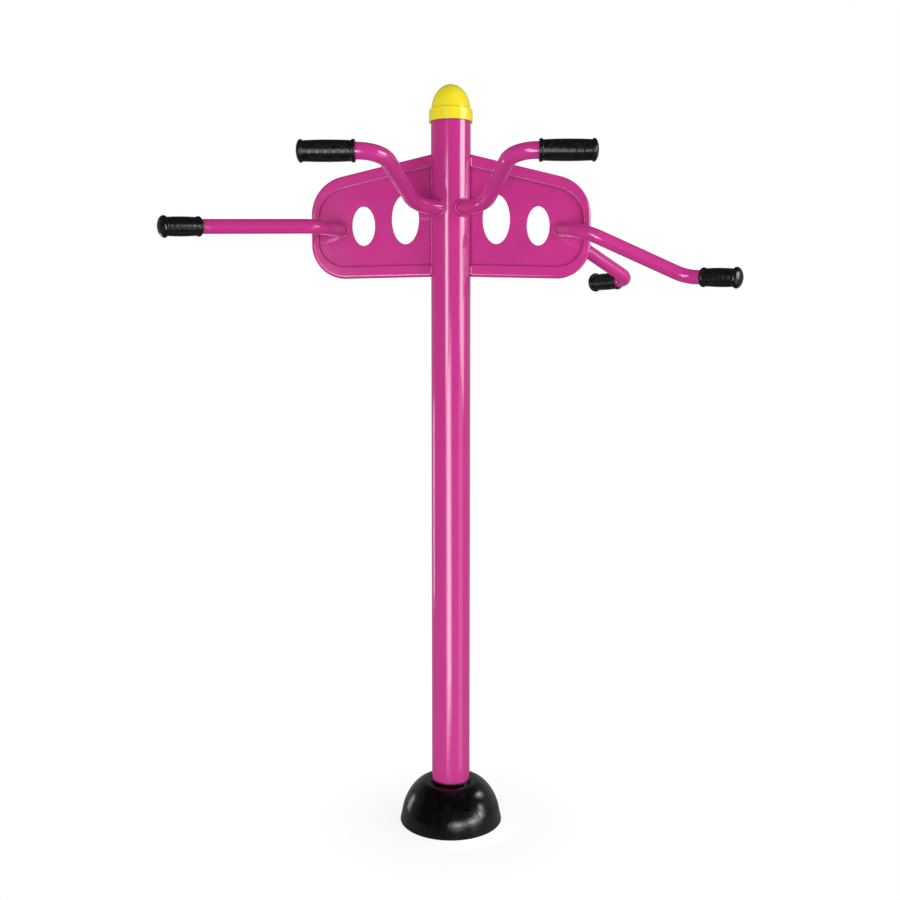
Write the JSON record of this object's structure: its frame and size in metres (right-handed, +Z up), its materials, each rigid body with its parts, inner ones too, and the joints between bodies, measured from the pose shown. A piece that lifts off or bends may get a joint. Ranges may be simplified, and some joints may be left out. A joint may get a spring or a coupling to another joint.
{
  "type": "outdoor pull-up bar station",
  "caption": "Outdoor pull-up station: a round post on a covered base flange, with a winged panel, S-shaped front handles and cranked side arms, all ending in rubber grips, under a domed cap.",
  "frame": {"origin": "on the post's axis, in the underside of the base flange, which is ground level", "axes": "+Z up along the post, +X to the right as seen by the user in front, and the user stands on the -Y side"},
  "size_m": [1.5712, 0.836, 2.1827],
  "materials": {
    "pink_paint": "gloss magenta-pink powder coat on steel",
    "yellow_cap": "gloss yellow moulded plastic",
    "black_cover": "gloss black moulded plastic",
    "black_rubber": "matt black moulded rubber with fine ribs"
  },
  "bodies": {
    "root": {"main_post": "pink_paint", "base_flange": "pink_paint", "post_foot_weld": "pink_paint", "base_gusset_1": "pink_paint", "base_gusset_2": "pink_paint", "base_gusset_3": "pink_paint", "base_gusset_4": "pink_paint", "cover_half_right": "black_cover", "cover_half_left": "black_cover", "post_cap": "yellow_cap", "panel_sheet_right": "pink_paint", "panel_sheet_left": "pink_paint", "panel_rim_right": "pink_paint", "panel_rim_left": "pink_paint", "panel_weld_right": "pink_paint", "panel_weld_left": "pink_paint", "s_handle_right": "pink_paint", "s_handle_left": "pink_paint", "s_weld_right": "pink_paint", "s_weld_left": "pink_paint", "s_end_disc_right": "pink_paint", "s_end_disc_left": "pink_paint", "s_grip_right": "black_rubber", "s_grip_left": "black_rubber", "front_left_arm": "pink_paint", "front_left_weld": "pink_paint", "front_left_end_disc": "pink_paint", "front_left_grip": "black_rubber", "front_right_arm": "pink_paint", "front_right_weld": "pink_paint", "front_right_end_disc": "pink_paint", "front_right_grip": "black_rubber", "rear_right_arm": "pink_paint", "rear_right_weld": "pink_paint", "rear_right_end_disc": "pink_paint", "rear_right_grip": "black_rubber"}
  },
  "joints": []
}
